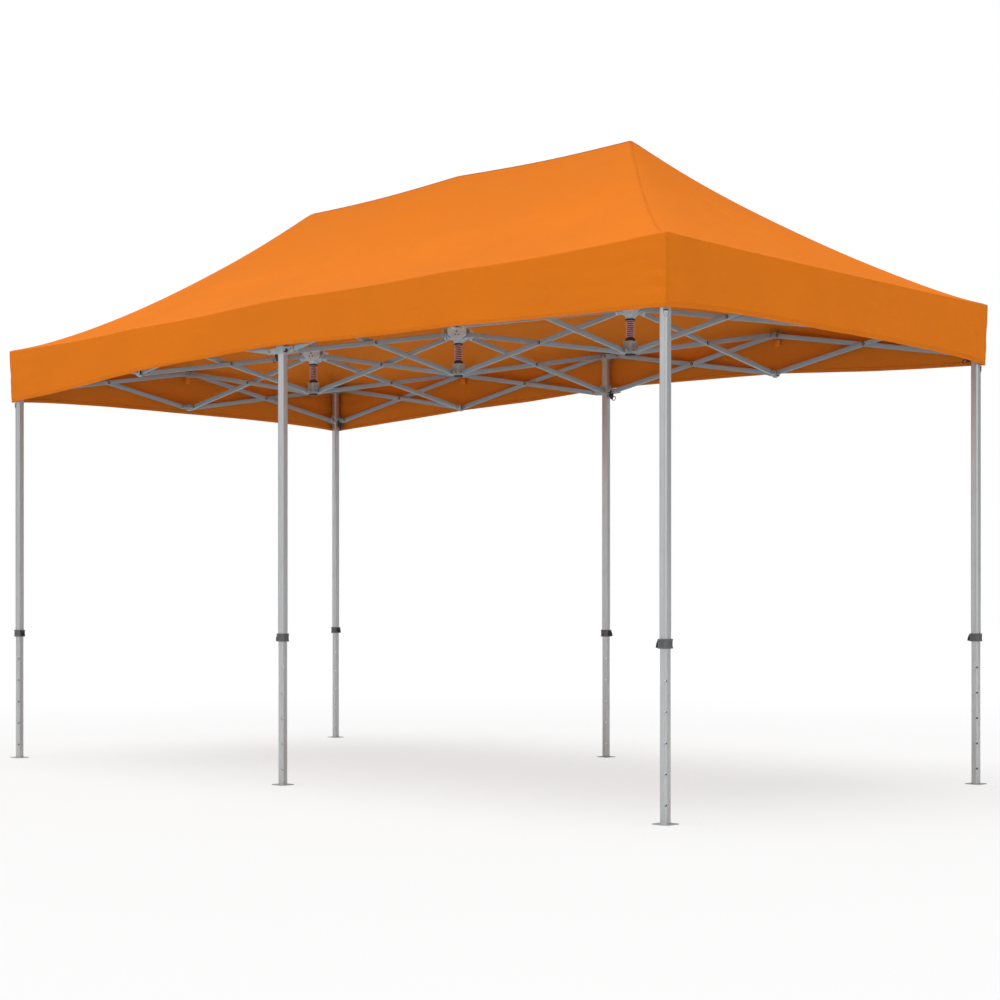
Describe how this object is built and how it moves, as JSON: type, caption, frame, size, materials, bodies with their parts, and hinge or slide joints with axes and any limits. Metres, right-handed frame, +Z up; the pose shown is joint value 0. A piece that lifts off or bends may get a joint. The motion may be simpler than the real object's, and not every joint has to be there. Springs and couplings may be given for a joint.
{
  "type": "pop-up canopy shelter",
  "caption": "Pop-up canopy shelter: hipped orange cloth roof with a valance on a folding scissor frame with telescoping legs and roof masts.",
  "frame": {"origin": "on the ground, at the middle of the rectangle that the six feet stand on", "axes": "+Z is up, +X runs along the long side to the right, -Y is the front; the masts stand in the XZ plane"},
  "size_m": [6, 3.05, 3.87],
  "materials": {
    "cloth": "matt",
    "mast": "satin",
    "outer_leg": "satin",
    "inner_leg": "satin",
    "bar": "satin"
  },
  "bodies": {
    "roof": {"mast_centre": "mast", "canopy": "cloth"},
    "cross_3_front_falling": {"cross_3_front_falling": "bar"},
    "cross_3_front_rising": {"cross_3_front_rising": "bar"},
    "outer_leg_front_centre": {"outer_leg_front_centre": "outer_leg"},
    "cross_3_back_falling": {"cross_3_back_falling": "bar"},
    "cross_3_back_rising": {"cross_3_back_rising": "bar"},
    "outer_leg_back_centre": {"outer_leg_back_centre": "outer_leg"},
    "long_middle_left_inner_falling": {"long_middle_left_inner_falling": "bar"},
    "long_middle_left_inner_rising": {"long_middle_left_inner_rising": "bar"},
    "mast_left": {"mast_left": "mast"},
    "long_middle_left_outer_falling": {"long_middle_left_outer_falling": "bar"},
    "long_middle_left_outer_rising": {"long_middle_left_outer_rising": "bar"},
    "cross_2_front_falling": {"cross_2_front_falling": "bar"},
    "cross_2_front_rising": {"cross_2_front_rising": "bar"},
    "cross_2_back_falling": {"cross_2_back_falling": "bar"},
    "cross_2_back_rising": {"cross_2_back_rising": "bar"},
    "long_middle_right_inner_falling": {"long_middle_right_inner_falling": "bar"},
    "long_middle_right_inner_rising": {"long_middle_right_inner_rising": "bar"},
    "mast_right": {"mast_right": "mast"},
    "long_middle_right_outer_falling": {"long_middle_right_outer_falling": "bar"},
    "long_middle_right_outer_rising": {"long_middle_right_outer_rising": "bar"},
    "cross_4_front_falling": {"cross_4_front_falling": "bar"},
    "cross_4_front_rising": {"cross_4_front_rising": "bar"},
    "cross_4_back_falling": {"cross_4_back_falling": "bar"},
    "cross_4_back_rising": {"cross_4_back_rising": "bar"},
    "long_front_left_inner_falling": {"long_front_left_inner_falling": "bar"},
    "long_front_left_inner_rising": {"long_front_left_inner_rising": "bar"},
    "long_front_left_outer_falling": {"long_front_left_outer_falling": "bar"},
    "long_front_left_outer_rising": {"long_front_left_outer_rising": "bar"},
    "outer_leg_front_left": {"outer_leg_front_left": "outer_leg"},
    "cross_1_front_falling": {"cross_1_front_falling": "bar"},
    "cross_1_front_rising": {"cross_1_front_rising": "bar"},
    "long_front_right_inner_falling": {"long_front_right_inner_falling": "bar"},
    "long_front_right_inner_rising": {"long_front_right_inner_rising": "bar"},
    "long_front_right_outer_falling": {"long_front_right_outer_falling": "bar"},
    "long_front_right_outer_rising": {"long_front_right_outer_rising": "bar"},
    "outer_leg_front_right": {"outer_leg_front_right": "outer_leg"},
    "cross_5_front_falling": {"cross_5_front_falling": "bar"},
    "cross_5_front_rising": {"cross_5_front_rising": "bar"},
    "long_back_left_inner_falling": {"long_back_left_inner_falling": "bar"},
    "long_back_left_inner_rising": {"long_back_left_inner_rising": "bar"},
    "long_back_left_outer_falling": {"long_back_left_outer_falling": "bar"},
    "long_back_left_outer_rising": {"long_back_left_outer_rising": "bar"},
    "outer_leg_back_left": {"outer_leg_back_left": "outer_leg"},
    "cross_1_back_falling": {"cross_1_back_falling": "bar"},
    "cross_1_back_rising": {"cross_1_back_rising": "bar"},
    "long_back_right_inner_falling": {"long_back_right_inner_falling": "bar"},
    "long_back_right_inner_rising": {"long_back_right_inner_rising": "bar"},
    "long_back_right_outer_falling": {"long_back_right_outer_falling": "bar"},
    "long_back_right_outer_rising": {"long_back_right_outer_rising": "bar"},
    "outer_leg_back_right": {"outer_leg_back_right": "outer_leg"},
    "cross_5_back_falling": {"cross_5_back_falling": "bar"},
    "cross_5_back_rising": {"cross_5_back_rising": "bar"},
    "inner_leg_front_left": {"inner_leg_front_left": "inner_leg"},
    "inner_leg_front_centre": {"inner_leg_front_centre": "inner_leg"},
    "inner_leg_front_right": {"inner_leg_front_right": "inner_leg"},
    "inner_leg_back_left": {"inner_leg_back_left": "inner_leg"},
    "inner_leg_back_centre": {"inner_leg_back_centre": "inner_leg"},
    "inner_leg_back_right": {"inner_leg_back_right": "inner_leg"}
  },
  "joints": [
    {"name": "frame_fold", "type": "hinge", "parent": "roof", "child": "cross_3_front_falling", "pos_m": [0, -0.05, 2.855], "axis": [1, 0, 0], "range_deg": [0, 76]},
    {"name": "cross_3_front_rising_turn", "type": "hinge", "parent": "cross_3_front_falling", "child": "cross_3_front_rising", "pos_m": [0, -0.7375, 2.73], "axis": [1, 0, 0], "range_deg": [-152, 0]},
    {"name": "outer_leg_front_centre_turn", "type": "hinge", "parent": "cross_3_front_rising", "child": "outer_leg_front_centre", "pos_m": [0, -1.425, 2.855], "axis": [1, 0, 0], "range_deg": [0, 76]},
    {"name": "cross_3_back_falling_turn", "type": "hinge", "parent": "roof", "child": "cross_3_back_falling", "pos_m": [0, 0.05, 2.855], "axis": [-1, 0, 0], "range_deg": [0, 76]},
    {"name": "cross_3_back_rising_turn", "type": "hinge", "parent": "cross_3_back_falling", "child": "cross_3_back_rising", "pos_m": [0, 0.7375, 2.73], "axis": [-1, 0, 0], "range_deg": [-152, 0]},
    {"name": "outer_leg_back_centre_turn", "type": "hinge", "parent": "cross_3_back_rising", "child": "outer_leg_back_centre", "pos_m": [0, 1.425, 2.855], "axis": [-1, 0, 0], "range_deg": [0, 76]},
    {"name": "long_middle_left_inner_falling_turn", "type": "hinge", "parent": "roof", "child": "long_middle_left_inner_falling", "pos_m": [-0.05, 0, 2.855], "axis": [0, -1, 0], "range_deg": [0, 76]},
    {"name": "long_middle_left_inner_rising_turn", "type": "hinge", "parent": "long_middle_left_inner_falling", "child": "long_middle_left_inner_rising", "pos_m": [-0.7375, 0, 2.73], "axis": [0, -1, 0], "range_deg": [-152, 0]},
    {"name": "mast_left_turn", "type": "hinge", "parent": "long_middle_left_inner_rising", "child": "mast_left", "pos_m": [-1.425, 0, 2.855], "axis": [0, -1, 0], "range_deg": [0, 76]},
    {"name": "long_middle_left_outer_falling_turn", "type": "hinge", "parent": "mast_left", "child": "long_middle_left_outer_falling", "pos_m": [-1.525, 0, 2.855], "axis": [0, -1, 0], "range_deg": [0, 76]},
    {"name": "long_middle_left_outer_rising_turn", "type": "hinge", "parent": "long_middle_left_outer_falling", "child": "long_middle_left_outer_rising", "pos_m": [-2.2125, 0, 2.73], "axis": [0, -1, 0], "range_deg": [-152, 0]},
    {"name": "cross_2_front_falling_turn", "type": "hinge", "parent": "mast_left", "child": "cross_2_front_falling", "pos_m": [-1.475, -0.05, 2.855], "axis": [1, 0, 0], "range_deg": [0, 76]},
    {"name": "cross_2_front_rising_turn", "type": "hinge", "parent": "cross_2_front_falling", "child": "cross_2_front_rising", "pos_m": [-1.475, -0.7375, 2.73], "axis": [1, 0, 0], "range_deg": [-152, 0]},
    {"name": "cross_2_back_falling_turn", "type": "hinge", "parent": "mast_left", "child": "cross_2_back_falling", "pos_m": [-1.475, 0.05, 2.855], "axis": [-1, 0, 0], "range_deg": [0, 76]},
    {"name": "cross_2_back_rising_turn", "type": "hinge", "parent": "cross_2_back_falling", "child": "cross_2_back_rising", "pos_m": [-1.475, 0.7375, 2.73], "axis": [-1, 0, 0], "range_deg": [-152, 0]},
    {"name": "long_middle_right_inner_falling_turn", "type": "hinge", "parent": "roof", "child": "long_middle_right_inner_falling", "pos_m": [0.05, 0, 2.855], "axis": [0, 1, 0], "range_deg": [0, 76]},
    {"name": "long_middle_right_inner_rising_turn", "type": "hinge", "parent": "long_middle_right_inner_falling", "child": "long_middle_right_inner_rising", "pos_m": [0.7375, 0, 2.73], "axis": [0, 1, 0], "range_deg": [-152, 0]},
    {"name": "mast_right_turn", "type": "hinge", "parent": "long_middle_right_inner_rising", "child": "mast_right", "pos_m": [1.425, 0, 2.855], "axis": [0, 1, 0], "range_deg": [0, 76]},
    {"name": "long_middle_right_outer_falling_turn", "type": "hinge", "parent": "mast_right", "child": "long_middle_right_outer_falling", "pos_m": [1.525, 0, 2.855], "axis": [0, 1, 0], "range_deg": [0, 76]},
    {"name": "long_middle_right_outer_rising_turn", "type": "hinge", "parent": "long_middle_right_outer_falling", "child": "long_middle_right_outer_rising", "pos_m": [2.2125, 0, 2.73], "axis": [0, 1, 0], "range_deg": [-152, 0]},
    {"name": "cross_4_front_falling_turn", "type": "hinge", "parent": "mast_right", "child": "cross_4_front_falling", "pos_m": [1.475, -0.05, 2.855], "axis": [1, 0, 0], "range_deg": [0, 76]},
    {"name": "cross_4_front_rising_turn", "type": "hinge", "parent": "cross_4_front_falling", "child": "cross_4_front_rising", "pos_m": [1.475, -0.7375, 2.73], "axis": [1, 0, 0], "range_deg": [-152, 0]},
    {"name": "cross_4_back_falling_turn", "type": "hinge", "parent": "mast_right", "child": "cross_4_back_falling", "pos_m": [1.475, 0.05, 2.855], "axis": [-1, 0, 0], "range_deg": [0, 76]},
    {"name": "cross_4_back_rising_turn", "type": "hinge", "parent": "cross_4_back_falling", "child": "cross_4_back_rising", "pos_m": [1.475, 0.7375, 2.73], "axis": [-1, 0, 0], "range_deg": [-152, 0]},
    {"name": "long_front_left_inner_falling_turn", "type": "hinge", "parent": "outer_leg_front_centre", "child": "long_front_left_inner_falling", "pos_m": [-0.1, -1.475, 2.855], "axis": [0, -1, 0], "range_deg": [0, 76]},
    {"name": "long_front_left_inner_rising_turn", "type": "hinge", "parent": "long_front_left_inner_falling", "child": "long_front_left_inner_rising", "pos_m": [-0.7875, -1.475, 2.73], "axis": [0, -1, 0], "range_deg": [-152, 0]},
    {"name": "long_front_left_outer_falling_turn", "type": "hinge", "parent": "long_front_left_inner_rising", "child": "long_front_left_outer_falling", "pos_m": [-1.475, -1.475, 2.855], "axis": [0, -1, 0], "range_deg": [0, 152]},
    {"name": "long_front_left_outer_rising_turn", "type": "hinge", "parent": "long_front_left_outer_falling", "child": "long_front_left_outer_rising", "pos_m": [-2.1625, -1.475, 2.73], "axis": [0, -1, 0], "range_deg": [-152, 0]},
    {"name": "outer_leg_front_left_turn", "type": "hinge", "parent": "long_front_left_outer_rising", "child": "outer_leg_front_left", "pos_m": [-2.85, -1.475, 2.855], "axis": [0, -1, 0], "range_deg": [0, 76]},
    {"name": "cross_1_front_rising_turn", "type": "hinge", "parent": "outer_leg_front_left", "child": "cross_1_front_rising", "pos_m": [-2.95, -1.425, 2.855], "axis": [1, 0, 0], "range_deg": [-76, 0]},
    {"name": "cross_1_front_falling_turn", "type": "hinge", "parent": "cross_1_front_rising", "child": "cross_1_front_falling", "pos_m": [-2.95, -0.7375, 2.73], "axis": [1, 0, 0], "range_deg": [0, 152]},
    {"name": "long_front_right_inner_falling_turn", "type": "hinge", "parent": "outer_leg_front_centre", "child": "long_front_right_inner_falling", "pos_m": [0.1, -1.475, 2.855], "axis": [0, 1, 0], "range_deg": [0, 76]},
    {"name": "long_front_right_inner_rising_turn", "type": "hinge", "parent": "long_front_right_inner_falling", "child": "long_front_right_inner_rising", "pos_m": [0.7875, -1.475, 2.73], "axis": [0, 1, 0], "range_deg": [-152, 0]},
    {"name": "long_front_right_outer_falling_turn", "type": "hinge", "parent": "long_front_right_inner_rising", "child": "long_front_right_outer_falling", "pos_m": [1.475, -1.475, 2.855], "axis": [0, 1, 0], "range_deg": [0, 152]},
    {"name": "long_front_right_outer_rising_turn", "type": "hinge", "parent": "long_front_right_outer_falling", "child": "long_front_right_outer_rising", "pos_m": [2.1625, -1.475, 2.73], "axis": [0, 1, 0], "range_deg": [-152, 0]},
    {"name": "outer_leg_front_right_turn", "type": "hinge", "parent": "long_front_right_outer_rising", "child": "outer_leg_front_right", "pos_m": [2.85, -1.475, 2.855], "axis": [0, 1, 0], "range_deg": [0, 76]},
    {"name": "cross_5_front_rising_turn", "type": "hinge", "parent": "outer_leg_front_right", "child": "cross_5_front_rising", "pos_m": [2.95, -1.425, 2.855], "axis": [1, 0, 0], "range_deg": [-76, 0]},
    {"name": "cross_5_front_falling_turn", "type": "hinge", "parent": "cross_5_front_rising", "child": "cross_5_front_falling", "pos_m": [2.95, -0.7375, 2.73], "axis": [1, 0, 0], "range_deg": [0, 152]},
    {"name": "long_back_left_inner_falling_turn", "type": "hinge", "parent": "outer_leg_back_centre", "child": "long_back_left_inner_falling", "pos_m": [-0.1, 1.475, 2.855], "axis": [0, -1, 0], "range_deg": [0, 76]},
    {"name": "long_back_left_inner_rising_turn", "type": "hinge", "parent": "long_back_left_inner_falling", "child": "long_back_left_inner_rising", "pos_m": [-0.7875, 1.475, 2.73], "axis": [0, -1, 0], "range_deg": [-152, 0]},
    {"name": "long_back_left_outer_falling_turn", "type": "hinge", "parent": "long_back_left_inner_rising", "child": "long_back_left_outer_falling", "pos_m": [-1.475, 1.475, 2.855], "axis": [0, -1, 0], "range_deg": [0, 152]},
    {"name": "long_back_left_outer_rising_turn", "type": "hinge", "parent": "long_back_left_outer_falling", "child": "long_back_left_outer_rising", "pos_m": [-2.1625, 1.475, 2.73], "axis": [0, -1, 0], "range_deg": [-152, 0]},
    {"name": "outer_leg_back_left_turn", "type": "hinge", "parent": "long_back_left_outer_rising", "child": "outer_leg_back_left", "pos_m": [-2.85, 1.475, 2.855], "axis": [0, -1, 0], "range_deg": [0, 76]},
    {"name": "cross_1_back_rising_turn", "type": "hinge", "parent": "outer_leg_back_left", "child": "cross_1_back_rising", "pos_m": [-2.95, 1.425, 2.855], "axis": [-1, 0, 0], "range_deg": [-76, 0]},
    {"name": "cross_1_back_falling_turn", "type": "hinge", "parent": "cross_1_back_rising", "child": "cross_1_back_falling", "pos_m": [-2.95, 0.7375, 2.73], "axis": [-1, 0, 0], "range_deg": [0, 152]},
    {"name": "long_back_right_inner_falling_turn", "type": "hinge", "parent": "outer_leg_back_centre", "child": "long_back_right_inner_falling", "pos_m": [0.1, 1.475, 2.855], "axis": [0, 1, 0], "range_deg": [0, 76]},
    {"name": "long_back_right_inner_rising_turn", "type": "hinge", "parent": "long_back_right_inner_falling", "child": "long_back_right_inner_rising", "pos_m": [0.7875, 1.475, 2.73], "axis": [0, 1, 0], "range_deg": [-152, 0]},
    {"name": "long_back_right_outer_falling_turn", "type": "hinge", "parent": "long_back_right_inner_rising", "child": "long_back_right_outer_falling", "pos_m": [1.475, 1.475, 2.855], "axis": [0, 1, 0], "range_deg": [0, 152]},
    {"name": "long_back_right_outer_rising_turn", "type": "hinge", "parent": "long_back_right_outer_falling", "child": "long_back_right_outer_rising", "pos_m": [2.1625, 1.475, 2.73], "axis": [0, 1, 0], "range_deg": [-152, 0]},
    {"name": "outer_leg_back_right_turn", "type": "hinge", "parent": "long_back_right_outer_rising", "child": "outer_leg_back_right", "pos_m": [2.85, 1.475, 2.855], "axis": [0, 1, 0], "range_deg": [0, 76]},
    {"name": "cross_5_back_rising_turn", "type": "hinge", "parent": "outer_leg_back_right", "child": "cross_5_back_rising", "pos_m": [2.95, 1.425, 2.855], "axis": [-1, 0, 0], "range_deg": [-76, 0]},
    {"name": "cross_5_back_falling_turn", "type": "hinge", "parent": "cross_5_back_rising", "child": "cross_5_back_falling", "pos_m": [2.95, 0.7375, 2.73], "axis": [-1, 0, 0], "range_deg": [0, 152]},
    {"name": "inner_leg_front_left_slide", "type": "slide", "parent": "outer_leg_front_left", "child": "inner_leg_front_left", "axis": [0, 0, 1], "range_m": [0, 0.608]},
    {"name": "inner_leg_front_centre_slide", "type": "slide", "parent": "outer_leg_front_centre", "child": "inner_leg_front_centre", "axis": [0, 0, 1], "range_m": [0, 0.608]},
    {"name": "inner_leg_front_right_slide", "type": "slide", "parent": "outer_leg_front_right", "child": "inner_leg_front_right", "axis": [0, 0, 1], "range_m": [0, 0.608]},
    {"name": "inner_leg_back_left_slide", "type": "slide", "parent": "outer_leg_back_left", "child": "inner_leg_back_left", "axis": [0, 0, 1], "range_m": [0, 0.608]},
    {"name": "inner_leg_back_centre_slide", "type": "slide", "parent": "outer_leg_back_centre", "child": "inner_leg_back_centre", "axis": [0, 0, 1], "range_m": [0, 0.608]},
    {"name": "inner_leg_back_right_slide", "type": "slide", "parent": "outer_leg_back_right", "child": "inner_leg_back_right", "axis": [0, 0, 1], "range_m": [0, 0.608]}
  ],
  "couplings": [
    {"joint": "cross_3_front_rising_turn", "follows": "frame_fold", "ratio": -2},
    {"joint": "outer_leg_front_centre_turn", "follows": "frame_fold", "ratio": 1},
    {"joint": "cross_3_back_falling_turn", "follows": "frame_fold", "ratio": 1},
    {"joint": "cross_3_back_rising_turn", "follows": "frame_fold", "ratio": -2},
    {"joint": "outer_leg_back_centre_turn", "follows": "frame_fold", "ratio": 1},
    {"joint": "long_middle_left_inner_falling_turn", "follows": "frame_fold", "ratio": 1},
    {"joint": "long_middle_left_inner_rising_turn", "follows": "frame_fold", "ratio": -2},
    {"joint": "mast_left_turn", "follows": "frame_fold", "ratio": 1},
    {"joint": "long_middle_left_outer_falling_turn", "follows": "frame_fold", "ratio": 1},
    {"joint": "long_middle_left_outer_rising_turn", "follows": "frame_fold", "ratio": -2},
    {"joint": "cross_2_front_falling_turn", "follows": "frame_fold", "ratio": 1},
    {"joint": "cross_2_front_rising_turn", "follows": "frame_fold", "ratio": -2},
    {"joint": "cross_2_back_falling_turn", "follows": "frame_fold", "ratio": 1},
    {"joint": "cross_2_back_rising_turn", "follows": "frame_fold", "ratio": -2},
    {"joint": "long_middle_right_inner_falling_turn", "follows": "frame_fold", "ratio": 1},
    {"joint": "long_middle_right_inner_rising_turn", "follows": "frame_fold", "ratio": -2},
    {"joint": "mast_right_turn", "follows": "frame_fold", "ratio": 1},
    {"joint": "long_middle_right_outer_falling_turn", "follows": "frame_fold", "ratio": 1},
    {"joint": "long_middle_right_outer_rising_turn", "follows": "frame_fold", "ratio": -2},
    {"joint": "cross_4_front_falling_turn", "follows": "frame_fold", "ratio": 1},
    {"joint": "cross_4_front_rising_turn", "follows": "frame_fold", "ratio": -2},
    {"joint": "cross_4_back_falling_turn", "follows": "frame_fold", "ratio": 1},
    {"joint": "cross_4_back_rising_turn", "follows": "frame_fold", "ratio": -2},
    {"joint": "long_front_left_inner_falling_turn", "follows": "frame_fold", "ratio": 1},
    {"joint": "long_front_left_inner_rising_turn", "follows": "frame_fold", "ratio": -2},
    {"joint": "long_front_left_outer_falling_turn", "follows": "frame_fold", "ratio": 2},
    {"joint": "long_front_left_outer_rising_turn", "follows": "frame_fold", "ratio": -2},
    {"joint": "outer_leg_front_left_turn", "follows": "frame_fold", "ratio": 1},
    {"joint": "cross_1_front_rising_turn", "follows": "frame_fold", "ratio": -1},
    {"joint": "cross_1_front_falling_turn", "follows": "frame_fold", "ratio": 2},
    {"joint": "long_front_right_inner_falling_turn", "follows": "frame_fold", "ratio": 1},
    {"joint": "long_front_right_inner_rising_turn", "follows": "frame_fold", "ratio": -2},
    {"joint": "long_front_right_outer_falling_turn", "follows": "frame_fold", "ratio": 2},
    {"joint": "long_front_right_outer_rising_turn", "follows": "frame_fold", "ratio": -2},
    {"joint": "outer_leg_front_right_turn", "follows": "frame_fold", "ratio": 1},
    {"joint": "cross_5_front_rising_turn", "follows": "frame_fold", "ratio": -1},
    {"joint": "cross_5_front_falling_turn", "follows": "frame_fold", "ratio": 2},
    {"joint": "long_back_left_inner_falling_turn", "follows": "frame_fold", "ratio": 1},
    {"joint": "long_back_left_inner_rising_turn", "follows": "frame_fold", "ratio": -2},
    {"joint": "long_back_left_outer_falling_turn", "follows": "frame_fold", "ratio": 2},
    {"joint": "long_back_left_outer_rising_turn", "follows": "frame_fold", "ratio": -2},
    {"joint": "outer_leg_back_left_turn", "follows": "frame_fold", "ratio": 1},
    {"joint": "cross_1_back_rising_turn", "follows": "frame_fold", "ratio": -1},
    {"joint": "cross_1_back_falling_turn", "follows": "frame_fold", "ratio": 2},
    {"joint": "long_back_right_inner_falling_turn", "follows": "frame_fold", "ratio": 1},
    {"joint": "long_back_right_inner_rising_turn", "follows": "frame_fold", "ratio": -2},
    {"joint": "long_back_right_outer_falling_turn", "follows": "frame_fold", "ratio": 2},
    {"joint": "long_back_right_outer_rising_turn", "follows": "frame_fold", "ratio": -2},
    {"joint": "outer_leg_back_right_turn", "follows": "frame_fold", "ratio": 1},
    {"joint": "cross_5_back_rising_turn", "follows": "frame_fold", "ratio": -1},
    {"joint": "cross_5_back_falling_turn", "follows": "frame_fold", "ratio": 2}
  ]
}
